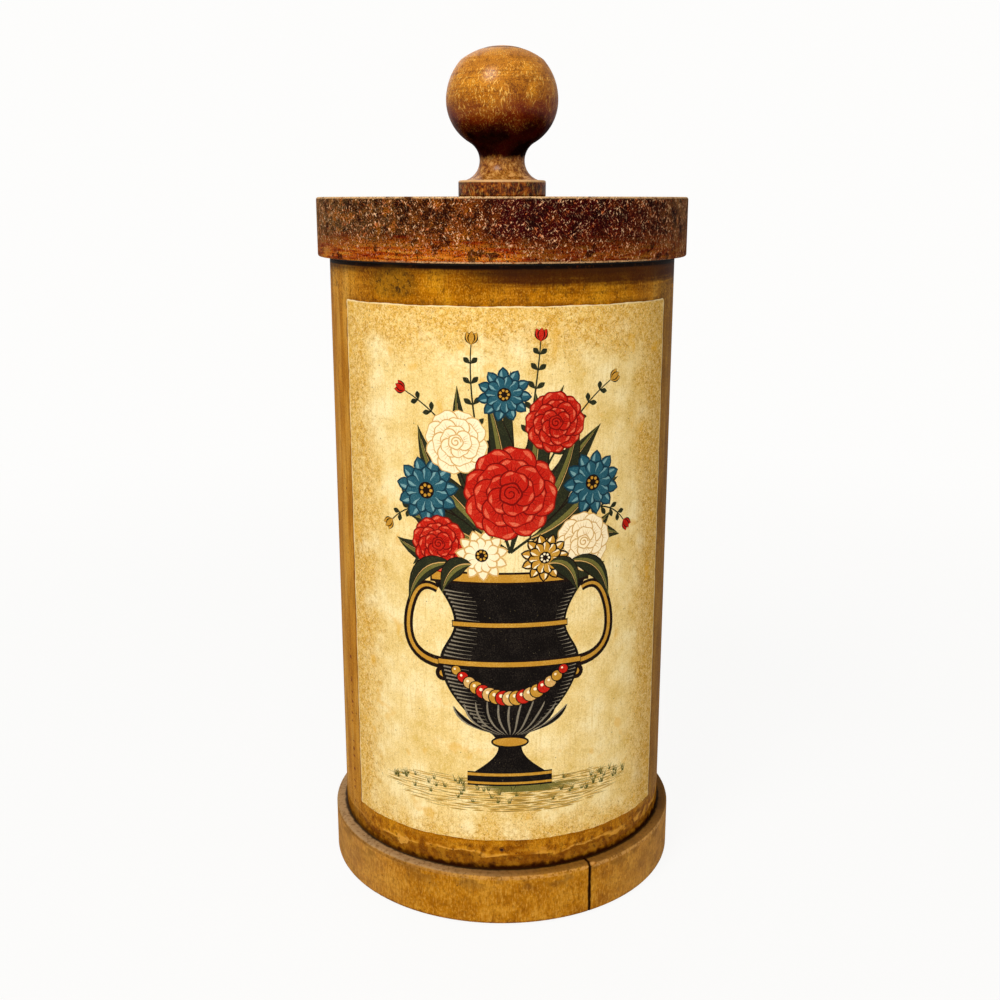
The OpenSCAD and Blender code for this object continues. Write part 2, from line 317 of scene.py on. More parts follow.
def knob_wood():
    """Golden varnish with fine fibres, lighter towards the top as painted light, a dark underside of stain
    and painted shade, a pale neck, and a mottled collar with a painted highlight along its top edge.
    """
    paint = Paint("knob_wood")
    up = paint.z - LID_TOP
    cloud = paint.noise(7, 1)
    blotch = paint.noise(2.2, 3, detail=4)
    fibre = paint.noise((0.26, 0.26, 0.42), 2)
    rings = paint.noise((40, 40, 0.6), 5, detail=1)
    strokes = paint.most(paint.strokes((0.5, 0.5, 2.0), 6, KNOB_R, 0.15, 0.61),
                         paint.strokes((0.5, 0.5, 1.7), 7, KNOB_R, -0.5, 0.63))
    strokes = strokes * (cloud + blotch.sway(0.5)).fade(0.36, 0.56)
    paint.colour = cloud.ramp((0.36, (132, 66, 1)), (0.5, (164, 90, 3)), (0.62, (198, 124, 22)))
    # Lighter towards the top of the ball: painted light from above
    paint.tint(up, 28, 40, 0.45, (212, 138, 42))
    paint.tint(rings, 0.47, 0.36, 0.35, (108, 48, 2))
    paint.tint(blotch, 0.48, 0.34, 0.5, (92, 40, 1))
    # Dark maroon underside, reaching higher on the right: a dark stain with painted shade under the ball and
    # on its side away from the light
    level = up + paint.noise(7, 4).sway(10) + blotch.sway(3) - 0.09 * paint.x
    neck = (up + blotch.sway(4)).fade(KNOB_NECK + 1.2, KNOB_NECK - 1.2)
    reddish_stain_and_shade = level.fade(34, 24)
    paint.lay(reddish_stain_and_shade * 0.9, (110, 20, 5))
    underside = level.fade(28, 20)
    maroon = cloud.ramp((0.4, (12, 0, 1)), (0.62, (52, 3, 4)))
    paint.lay(underside, maroon)
    grit = paint.noise(0.9, 8, detail=4)
    worn = 0.5 * blotch + 0.5 * grit
    paint.lay(neck, worn.ramp((0.4, (98, 44, 8)), (0.5, (154, 92, 30)), (0.6, (206, 148, 80))))
    collar = up.fade(COLLAR_TOP + 0.2, COLLAR_TOP - 0.4)
    mottle = 0.6 * blotch + 0.4 * grit
    paint.lay(collar, mottle.ramp((0.42, (46, 10, 3)), (0.52, (108, 42, 6)), (0.61, (168, 90, 20))))
    bright = 1 - 0.97 * paint.most(underside, reddish_stain_and_shade * 0.75) * (1 - neck)
    bright = bright * (1 - 0.6 * neck)
    paint.lay(strokes * bright * 0.85, (250, 194, 92))
    paint.tint(fibre, 0.54, 0.66, bright * 0.5, (220, 150, 36))
    paint.tint(fibre, 0.47, 0.35, bright * 0.65, (64, 20, 1))
    score = abs(paint.radius - SCORE_R)
    paint.tint(score, 1.0, 0.4, up.fade(CROWN_LOW, CROWN_LOW + 2) * 0.85, (62, 26, 2))
    # Pale line on the collar's top edge: painted highlight
    rim = up.fade(COLLAR_TOP - 0.4, COLLAR_TOP - 0.1) * up.fade(COLLAR_TOP + 0.7, COLLAR_TOP + 0.3)
    rim = rim * paint.radius.fade(COLLAR_R - 0.6, COLLAR_R)
    paint.lay(rim * 0.7, (230, 182, 122))
    normal = paint.relief(fibre + 0.6 * strokes, 0.09, paint.relief(blotch, 0.25))
    gloss = 0.26 - 0.22 * underside * (1 - neck)
    return paint.varnish(0.34 + blotch.sway(0.3), normal, gloss, 0.26)


def lid_wood():
    """Mottled finish from olive over orange-brown to maroon, full of pale specks, with a painted reflection
    at its ends, and worn along its edges, where the top edge also has a painted highlight.
    """
    paint = Paint("lid_wood")
    up = paint.z - LID_LOW
    down = LID_TOP - paint.z
    wide = paint.noise(12, 22, detail=1)
    blotch = paint.noise(3.4, 21, detail=4)
    fine = paint.noise(0.36, 23)
    across = 0.5 + (paint.x + wide.sway(18) + blotch.sway(14)) * (0.5 / LID_R)
    paint.colour = across.ramp((0.08, (80, 57, 29)), (0.25, (68, 40, 14)), (0.4, (102, 46, 9)),
                               (0.53, (52, 1, 3)), (0.78, (56, 3, 3)), (0.94, (84, 44, 18)))
    # Paler greyish streaks at the ends, towards the sides: painted reflection
    ends = (abs(paint.x) + blotch.sway(30) + wide.sway(14)).fade(48, 68)
    end_reflection_tone = paint.noise((2.4, 2.4, 7), 35, detail=4).ramp((0.38, (96, 54, 22)), (0.62, (158, 114, 66)))
    paint.tint(blotch, 0.5, 0.38, 0.85, (26, 1, 1))
    left = across.fade(0.56, 0.42)
    golden = blotch.fade(0.53, 0.64) * (0.08 + 0.34 * left)
    paint.lay(golden, (178, 98, 14))
    streak = paint.noise((10, 10, 0.9), 24, detail=3)
    low = (up + streak.sway(9) + blotch.sway(5)).fade(9.4, 1.6)
    band = low * (0.4 + 0.6 * (paint.x + wide.sway(30)).fade(10, -6))
    warm = streak.ramp((0.36, (138, 34, 1)), (0.5, (192, 90, 8)), (0.64, (226, 142, 44)))
    paint.lay(band * 0.85, warm)
    paint.lay(ends * 0.6, end_reflection_tone)
    knots = paint.noise(4.2, 28).fade(0.57, 0.65)
    paint.lay(knots * (0.85 - 0.6 * ends), (18, 4, 2))
    paint.tint(fine, 0.52, 0.38, 0.95 - 0.5 * ends, (24, 1, 1))
    lit = paint.mix(left, (118, 40, 22), (172, 92, 26))
    paint.tint(fine, 0.56, 0.68, 0.25 + 0.2 * left, lit)
    specks = paint.most(paint.strokes((0.48, 0.48, 1.5), 30, LID_R, 0.6, 0.64),
                        paint.strokes((0.48, 0.48, 1.5), 32, LID_R, -0.8, 0.64),
                        paint.strokes((0.44, 0.44, 1.2), 36, LID_R, 2.4, 0.66))
    specks = specks * (0.3 + 0.7 * blotch.fade(0.38, 0.54)) * (1 - 0.6 * band)
    pale = paint.noise(1.1, 34).ramp((0.42, (190, 98, 50)), (0.62, (250, 202, 152)))
    paint.lay(specks * 0.9, pale)
    board = paint.noise((90, 2.2, 2.2), 26, detail=5, roughness=0.6, distortion=0.2)
    board = board + wide.sway(0.35)
    worn_top = board.ramp((0.36, (56, 20, 6)), (0.5, (98, 46, 13)), (0.64, (142, 80, 28)))
    paint.tint(down, 0.25, 0.1, 0.8, worn_top)
    # Pale line along the edges: wear, and on the top edge also a painted highlight
    rim = paint.radius.fade(LID_R - 1.6, LID_R - 0.6)
    rubbed_and_lit = paint.noise(1.8, 27).fade(0.3, 0.46)
    lower_edge = up.fade(0.7, 0.3) * (abs(paint.x - 6.0) + blotch.sway(20)).fade(48, 26)
    edge = paint.most((down + fine.sway(1.2)).fade(0.8, 0.3), lower_edge) * fine.fade(0.38, 0.48)
    paint.lay(edge * rim * rubbed_and_lit * 0.9, (226, 182, 128))
    normal = paint.relief(fine + 0.6 * specks, 0.05, paint.relief(blotch, 0.25))
    return paint.varnish(0.44 + wide.sway(0.3), normal, 0.03, 0.3)


def tube_varnish():
    """Glossy aged amber varnish: a stain with the lid's painted shadow under the lid, spotted, and chipped at
    the foot, with painted shade on the right side, beside the paper and where the foot meets the base.
    """
    paint = Paint("tube_varnish")
    below = RIM - paint.z
    above = paint.z - BASE_TOP
    arc = paint.turn * TUBE_R
    cloud = paint.noise((8, 8, 12), 41, detail=3)
    streak = paint.noise((0.7, 0.7, 12), 42)
    sweep = paint.noise((26, 9, 1.5), 50, around=TUBE_R)
    grain = paint.noise((0.4, 0.4, 0.6), 43, detail=1)
    blotch = paint.noise(2.6, 44, detail=3)
    paint.colour = cloud.ramp((0.32, (138, 78, 1)), (0.5, (172, 104, 4)), (0.68, (198, 132, 18)))
    # Faded sides, and a matt olive strip at the right that is partly painted shade
    sides = abs(arc).fade(44, 62)
    upright = paint.noise((4, 4, 34), 51, detail=4, distortion=0.3)
    faded = upright.ramp((0.34, (170, 108, 22)), (0.5, (196, 134, 40)), (0.66, (216, 160, 66)))
    paint.lay(sides * 0.75, faded)
    dull_and_shaded = (arc + upright.sway(14)).fade(56, 64) * (arc + upright.sway(50)).fade(105, 72)
    dull_shade_tone = (streak + cloud.sway(0.6)).ramp((0.36, (84, 52, 14)), (0.62, (138, 98, 38)))
    paint.lay(dull_and_shaded * 0.7, dull_shade_tone)
    paint.tint(streak, 0.5, 0.68, 0.4, (116, 64, 8))
    swept = paint.most(below.fade(22, 10), above.fade(16, 8))
    paint.tint(sweep, 0.52, 0.68, swept * 0.35, (200, 132, 22))
    paint.tint(sweep, 0.47, 0.34, swept * 0.25, (116, 64, 2))
    paint.tint(grain, 0.55, 0.68, 0.28 + 0.2 * swept, (218, 158, 50))
    paint.tint(grain, 0.45, 0.34, 0.3 + 0.2 * swept, (92, 46, 2))
    # Stain, grime and the lid's painted shadow under the lid, darkest on the right, with a near-black line
    # right under the lid that is grime and painted shadow
    reach = below + sweep.sway(5) + blotch.sway(2.5)
    stain_and_shadow = (arc + cloud.sway(16)).fade(-22, 4)
    grime = paint.noise(1.7, 52, detail=5, roughness=0.65)
    upper = (below + blotch.sway(4)).fade(17, 9)
    paint.tint(reach, 8.4, 4.0, stain_and_shadow * 0.9, (54, 15, 2))
    paint.tint(reach, 3.6, 0.6, 0.7, (58, 28, 6))
    paint.tint(below, 1.3, 0.7, 0.6, (62, 34, 10))
    joint_dirt_and_shadow = below.fade(1.3, 0.7) * paint.radius.fade(TUBE_R - 0.7, TUBE_R - 0.2)
    paint.lay(joint_dirt_and_shadow * 0.95, (14, 4, 2))
    paint.tint(grime, 0.53, 0.64, upper * 0.55, (70, 36, 4))
    # Dirt and painted shade round the paper, and a broken line beside it
    beside = abs(arc - PAPER_TURN * TUBE_R)
    dirt_and_shade = abs(below - RIM + PAPER_LOW + PAPER_H).fade(1.3, 0.2)
    dirt_and_shade = dirt_and_shade * beside.fade(PAPER_W / 2 + 1.0, PAPER_W / 2 - 3.0)
    flank = abs(beside - PAPER_W / 2).fade(2.6, 0.2) * below.fade(8, 14)
    dirt_and_shade = paint.most(dirt_and_shade, flank * above.fade(8, 14))
    paint.lay(dirt_and_shade * blotch.fade(0.34, 0.5) * 0.6, (92, 48, 4))
    strip = abs(arc + PAPER_W / 2 + 4.5 + cloud.sway(3)).fade(1.0, 0.5)
    bored = strip * paint.noise((9, 9, 1.3), 53, detail=1).fade(0.56, 0.6) * above.fade(78, 62)
    paint.lay(bored * 0.8, (104, 34, 14))
    # Speckled stain at the left
    across = (arc - STAIN[0]) * 0.085
    drop = (below - STAIN[1]) * 0.16
    patch = (across * across + drop * drop).fade(1.0, 0.1)
    paint.lay(patch * 0.5, (112, 78, 14))
    speckle = paint.noise(1.5, 49, detail=5, roughness=0.75).fade(0.52, 0.6)
    paint.lay(patch * speckle * 0.85, (46, 28, 8))
    # Patchy, chipped foot
    foot = (above + blotch.sway(4)).fade(11.0, 7.0) * (1 - 0.7 * arc.fade(-48, -66))
    patchy = blotch.ramp((0.38, (108, 54, 3)), (0.5, (158, 92, 6)), (0.6, (204, 140, 32)))
    paint.lay(foot * 0.6, patchy)
    ragged = above + paint.noise((12, 9, 4), 46, detail=4, around=TUBE_R).sway(8)
    paint.tint(ragged, 5.3, 4.7, 0.5, (98, 50, 4))
    chip_across = (arc - CHIP[0]) * 0.27
    chip_up = (above - CHIP[1]) * 0.34
    chip = chip_across * chip_across + chip_up * chip_up + blotch.sway(3.2)
    flaked = ragged.fade(5.0, 5.3) * ragged.fade(6.4, 5.6) * cloud.fade(0.42, 0.54)
    chips = paint.most(chip.fade(0.7, 0.3), flaked * 0.8)
    paint.lay(chips * foot * 0.8, (218, 156, 60))
    paint.tint(grime, 0.52, 0.64, foot * 0.6, (70, 32, 3))
    # Dark band where the foot meets the base: grime and painted shade in the corner
    gap = (above + blotch.sway(3)).fade(2.4, 0.6) * (0.95 - 0.35 * arc.fade(-20, -45))
    paint.lay(gap, (34, 8, 3))
    # Spots, and the seam behind
    spots = paint.most(paint.dots(5.0, 0.1, 0.4, 47), paint.dots(2.2, 0.14, 0.14, 48))
    paint.lay(spots * 0.8, (70, 28, 6))
    seam = paint.math("PINGPONG", paint.turn + pi, pi) * TUBE_R
    seam_line = seam.fade(0.35, 0.12)
    paint.lay(seam_line * 0.85, (52, 24, 8))
    relief = blotch + 0.5 * streak - 0.8 * spots - 1.2 * seam_line + 0.5 * chips
    normal = paint.relief(relief, 0.1)
    return paint.varnish(0.4 + grain.sway(0.2), normal, 0.06, 0.14)


def base_wood():
    """Golden-brown worn varnish with fine upright grain, greyed on the ledge and its eased edge, with a pale
    line on that edge that is wear and painted highlight, and grime and painted shade at the tube's foot.
    """
    paint = Paint("base_wood")
    down = BASE_TOP - paint.z
    up = paint.z - BASE_LOW
    cloud = paint.noise((9, 9, 7), 61, detail=3)
    grain = paint.noise((0.4, 0.4, 1.5), 62)
    wisp = paint.noise((1.4, 1.4, 5), 65, detail=3)
    blotch = paint.noise(2.4, 63, detail=3)
    mottle = paint.noise(1.2, 67, detail=4, roughness=0.65)
    paint.colour = cloud.ramp((0.3, (150, 90, 6)), (0.5, (176, 112, 12)), (0.7, (194, 134, 36)))
    paint.tint(mottle, 0.48, 0.36, 0.5, (112, 64, 6))
    paint.tint(mottle, 0.53, 0.65, 0.4, (214, 156, 58))
    paint.tint(wisp, 0.54, 0.68, 0.4, (128, 74, 6))
    paint.tint(wisp, 0.46, 0.34, 0.35, (206, 150, 56))
    paint.tint(grain, 0.53, 0.66, 0.3, (222, 166, 74))
    paint.tint(grain, 0.47, 0.35, 0.28, (118, 66, 4))
    ends = abs(paint.x).fade(26, 58)
    smudge = paint.noise((9, 9, 4), 64, detail=4).fade(0.46, 0.62) * paint.most(down.fade(9, 2), ends * 0.5)
    paint.lay(ends * 0.3, (198, 154, 96))
    paint.lay(smudge * 0.55, (110, 72, 28))
    leftward = (paint.x + cloud.sway(30)).fade(20, -44)
    greyed = paint.mix(leftward, (116, 78, 32), (164, 134, 96))
    greyed = paint.mix(mottle.fade(0.5, 0.38) * 0.55, greyed, (92, 62, 30))
    eased = abs(down - 1.1).fade(0.8, 0.2) * leftward
    paint.lay(eased * 0.6, (108, 66, 14))
    ledge = down.fade(0.9, 0.3)
    paint.lay(ledge * 0.8, greyed)
    # Dark ring on the ledge at the tube's foot: grime and painted shade in the corner
    dirt_and_shade = (paint.radius + blotch.sway(0.9)).fade(TUBE_R + 1.3, TUBE_R + 0.4) * down.fade(0.4, 0.1)
    paint.lay(dirt_and_shade * 0.92, (30, 14, 4))
    # Pale line on the eased edge: wear and painted highlight
    rim = (down + blotch.sway(1)).fade(2.2, 1.4) * down.fade(0.3, 0.8)
    rim = rim * wisp.fade(0.34, 0.5) * (0.6 - 0.45 * leftward) * mottle.fade(0.38, 0.52)
    paint.lay(rim, (210, 156, 88))
    lower = up.fade(1.6, 0.3) * blotch.fade(0.4, 0.6)
    paint.lay(lower * 0.5, (96, 54, 12))
    split = abs((paint.turn - CRACK_TURN) * BASE_R)
    paint.tint(split + blotch.sway(0.8), 0.9, 0.35, 0.95, (34, 6, 2))
    pits = paint.dots(3.4, 0.1, 0.35, 66)
    paint.lay(pits * 0.7, (76, 36, 8))
    normal = paint.relief(grain, 0.06, paint.relief(blotch - 0.8 * pits, 0.12))
    return paint.varnish(0.46 + cloud.sway(0.25), normal, 0.05, 0.3)


def plain_wood(name, dark, light, seed, ring_size, fibre_size, warp, pale, roughness):
    """Bare wood with rings and fibres, whose grain runs along the greatest of their sizes."""
    paint = Paint(name)
    rings = paint.noise(ring_size, seed, detail=3, distortion=warp)
    fibre = paint.noise(fibre_size, seed + 1)
    paint.colour = rings.ramp((0.34, dark), (0.66, light))
    paint.tint(fibre, 0.45, 0.32, 0.5, dark)
    paint.tint(fibre, 0.58, 0.72, pale, light)
    return paint.finish(roughness + rings.sway(0.2), paint.relief(fibre, 0.08), Specular_IOR_Level=0.15)


def metal(name, clean, tarnish, seed, roughness, share):
    """Dull metal with fine scratches and tarnish on a share of it."""
    paint = Paint(name)
    cloud = paint.noise(2.4, seed, detail=4)
    scratch = paint.noise((0.12, 3.0, 0.12), seed + 1)
    paint.colour = paint.mix(cloud.fade(0.66 - share, 0.78 - share), clean, tarnish)
    paint.tint(scratch, 0.58, 0.7, 0.25, clean)
    rough = roughness + cloud.sway(0.5) + scratch.sway(0.2)
    return paint.finish(rough, paint.relief(scratch, 0.02), Metallic=1.0)


def brad_iron():
    """Darkened iron, varnished over round the rim of each head."""
    paint = Paint("brad_iron")
    cloud = paint.noise(0.8, 83, detail=3)
    across = paint.least(abs(paint.x), abs(paint.y))
    up = paint.z - BASE_TOP - BRAD_RISE
    from_axis = paint.math("SQRT", across * across + up * up)
    paint.colour = cloud.ramp((0.34, (24, 12, 6)), (0.66, (58, 34, 18)))
    rim = (from_axis + cloud.sway(0.4)).fade(0.42, 0.62) * paint.radius.fade(TUBE_R - 0.2, TUBE_R)
    paint.lay(rim * 0.9, (126, 70, 10))
    return paint.varnish(0.5 + cloud.sway(0.3), paint.relief(cloud, 0.06), 0.14, 0.12)


def clay():
    """Porous unglazed clay."""
    paint = Paint("clay")
    cloud = paint.noise(4.0, 91, detail=3)
    grit = paint.noise(0.5, 92)
    pores = paint.dots(1.6, 0.22, 0.5, 93)
    paint.colour = cloud.ramp((0.34, (142, 70, 44)), (0.66, (186, 108, 72)))
    paint.tint(grit, 0.55, 0.7, 0.4, (212, 150, 112))
    paint.lay(pores * 0.7, (84, 38, 24))
    return paint.finish(0.85 + grit.sway(0.1), paint.relief(grit - pores, 0.2))


def cork():
    """Dark cork in fine granules, near black at its outer edge as painted shade in the gap under the lid."""
    paint = Paint("cork")
    cells = paint.noise(0.9, 95)
    dark_bits = paint.dots(1.4, 0.3, 0.4, 96)
    paint.colour = cells.ramp((0.36, (30, 18, 10)), (0.64, (74, 48, 28)))
    paint.lay(dark_bits * 0.8, (18, 10, 6))
    # Near black towards the outer edge: painted shade in the gap under the lid
    paint.lay(paint.radius.fade(TUBE_R - 2.4, TUBE_R - 1.4), (12, 6, 3))
    return paint.finish(0.8 + cells.sway(0.1), paint.relief(cells - dark_bits, 0.15))


def felt():
    """Green felt of tangled fibres."""
    paint = Paint("felt")
    cloud = paint.noise(6, 97, detail=3)
    fibre = paint.noise((0.25, 0.9, 0.4), 98, detail=3, distortion=2.0)
    paint.colour = cloud.ramp((0.34, (40, 54, 34)), (0.66, (66, 82, 52)))
    paint.tint(fibre, 0.54, 0.68, 0.5, (102, 116, 80))
    paint.tint(fibre, 0.46, 0.34, 0.5, (24, 33, 21))
    return paint.finish(0.95 - 0.1 * fibre, paint.relief(fibre, 0.25), Sheen_Weight=0.3)


def aged_paper(paint):
    """Lays the colour of old varnished paper, cream with a mottled mustard border, and gives its relief."""
    across = (paint.turn - PAPER_TURN) * TUBE_R
    up = paint.z - PAPER_LOW
    edge = paint.least(across + PAPER_W / 2, PAPER_W / 2 - across, up + 7.0, PAPER_H - up)
    cloud = paint.noise(10, 101, detail=3)
    mottle = paint.noise(1.5, 102, detail=4, roughness=0.6, distortion=0.8)
    flakes = paint.curls(1.7, 108, 0.09, 0.6)
    grain = paint.noise((0.36, 0.36, 0.42), 103, detail=1)
    brush = paint.noise((0.55, 0.55, 9), 104)
    border = mottle.ramp((0.34, (196, 140, 40)), (0.5, (220, 170, 74)), (0.66, (236, 198, 112)))
    middle = cloud.ramp((0.32, (224, 188, 106)), (0.5, (238, 208, 138)), (0.68, (246, 224, 166)))
    inside_share = (edge + cloud.sway(26) + mottle.sway(14)).fade(4.0, 20.0)
    paint.colour = paint.mix(inside_share, border, middle)
    paint.tint(mottle, 0.46, 0.34, 0.3, (190, 146, 58))
    paint.tint(brush, 0.5, 0.68, 0.35, (214, 170, 82))
    # Darker streaky ochre towards the right edge: partly stain, partly painted shade
    right = (across + cloud.sway(8)).fade(PAPER_W / 2 - 16.0, PAPER_W / 2 - 5.0)
    paint.lay(right * (0.35 + brush.sway(1.2)), (186, 136, 40))
    paint.lay(flakes * (0.35 - 0.2 * inside_share), (252, 228, 160))
    paint.tint(grain, 0.54, 0.66, 0.35, (250, 232, 182))
    paint.tint(grain, 0.46, 0.34, 0.34 - 0.16 * inside_share, (150, 102, 28))
    flecks = paint.strokes((0.6, 0.6, 1.0), 109, TUBE_R, 0.5, 0.63) * (1 - 0.75 * inside_share)
    paint.lay(flecks * 0.6, (132, 90, 18))
    stain = paint.noise(8, 105).fade(0.62, 0.72)
    paint.lay(stain * 0.45, (224, 164, 38))
    specks = paint.most(paint.dots(2.8, 0.1, 0.3, 106), paint.dots(1.2, 0.13, 0.08, 107))
    paint.lay(specks * 0.7, (84, 54, 18))
    paint.tint(edge, 0.7, 0.25, 0.7, (248, 228, 176))
    return grain + 0.7 * brush + 0.5 * mottle


def plain_paper():
    """The paper where nothing is printed."""
    paint = Paint("print_paper")
    height = aged_paper(paint)
    return paint.varnish(0.5, paint.relief(height, 0.05), 0.05, 0.25)


def ink(name, tone, light, share):
    """Printing ink on the paper: a thin tone shows on a share of it, and a little of it is worn."""
    paint = Paint(name)
    height = aged_paper(paint)
    stipple = paint.noise((0.3, 0.3, 0.36), 111, detail=1)
    cloud = paint.noise(5, 112)
    printed = paint.mix((stipple + cloud.sway(0.4)).fade(0.5, 0.66) * share, tone, light)
    worn = paint.noise((0.5, 0.5, 0.9), 113, detail=3).fade(0.7, 0.78) * 0.2
    paint.lay(1 - worn, printed)
    return paint.varnish(0.45, paint.relief(height, 0.05), 0.05, 0.25)


# Inks of the print: solid tone, thin tone, and how much of the thin tone shows
INKS = {
    "black": ((16, 12, 10), (58, 50, 42), 0.35),
    "line": ((26, 15, 10), (56, 38, 26), 0.3),
    "grey": ((120, 110, 92), (168, 154, 128), 0.5),
    "red": ((184, 26, 14), (210, 70, 44), 0.45),
    "red_dark": ((112, 12, 8), (150, 28, 18), 0.45),
    "red_light": ((214, 84, 56), (232, 134, 96), 0.5),
    "blue": ((36, 80, 92), (70, 116, 124), 0.45),
    "blue_dark": ((20, 46, 58), (42, 76, 86), 0.4),
    "blue_light": ((106, 146, 148), (148, 176, 168), 0.5),
    "cream": ((246, 224, 180), (252, 240, 208), 0.5),
    "ochre": ((204, 158, 88), (224, 188, 122), 0.5),
    "gold": ((186, 132, 42), (220, 172, 80), 0.5),
    "leaf": ((36, 38, 24), (70, 70, 40), 0.4),
    "olive": ((104, 98, 46), (142, 132, 70), 0.5),
    "sand": ((196, 154, 74), (214, 178, 100), 0.6),
    "turf": ((132, 104, 42), (164, 136, 66), 0.6),
}
# Least half width of a printed stroke
FINEST = 0.04


def heading(turn):
    return Vector((cos(turn), sin(turn)))


def left_of(way):
    return Vector((-way.y, way.x))


def round_turns(count):
    """Angles of that many even steps round a circle."""
    return [2 * pi * i / count for i in range(count)]


def bezier(start, bend, end, count=10):
    """Points of a curve from start to end that is drawn towards bend."""
    start, bend, end = Vector(start), Vector(bend), Vector(end)
    shares = [i / count for i in range(count + 1)]
    return [start * (1 - t) ** 2 + bend * 2 * t * (1 - t) + end * t ** 2 for t in shares]


def sides_of(path):
    """The way to the left of a path at each of its points."""
    return [left_of((after - before).normalized())
            for before, after in zip(path[:1] + path[:-1], path[1:] + path[-1:])]


def ribbon(path, half_width):
    """Outline of a stroke along a path. half_width gives its half width at a share of its length."""
    last = len(path) - 1
    reach = [side * max(half_width(i / last), FINEST) for i, side in enumerate(sides_of(path))]
    left = [point + side for point, side in zip(path, reach)]
    right = [point - side for point, side in zip(path, reach)]
    return left + right[::-1]


def blade(width, fullest):
    """Half width of a leaf or petal along its length, widest at that share of it."""
    power = log(0.5) / log(fullest)
    return lambda t: width / 2 * sin(pi * t ** power)


def blob(centre, across, up=None, lobes=0, depth=0.0, phase=0.0, count=24):
    """Closed round outline with soft lobes, as high as it is wide unless up is given."""
    up = across if up is None else up
    turns = round_turns(count)
    reach = [1 + depth * cos(lobes * turn + phase) for turn in turns]
    return [Vector((centre[0] + across * r * cos(a), centre[1] + up * r * sin(a)))
            for a, r in zip(turns, reach)]


def bar(half, low, high):
    return [Vector((-half, low)), Vector((half, low)), Vector((half, high)), Vector((-half, high))]


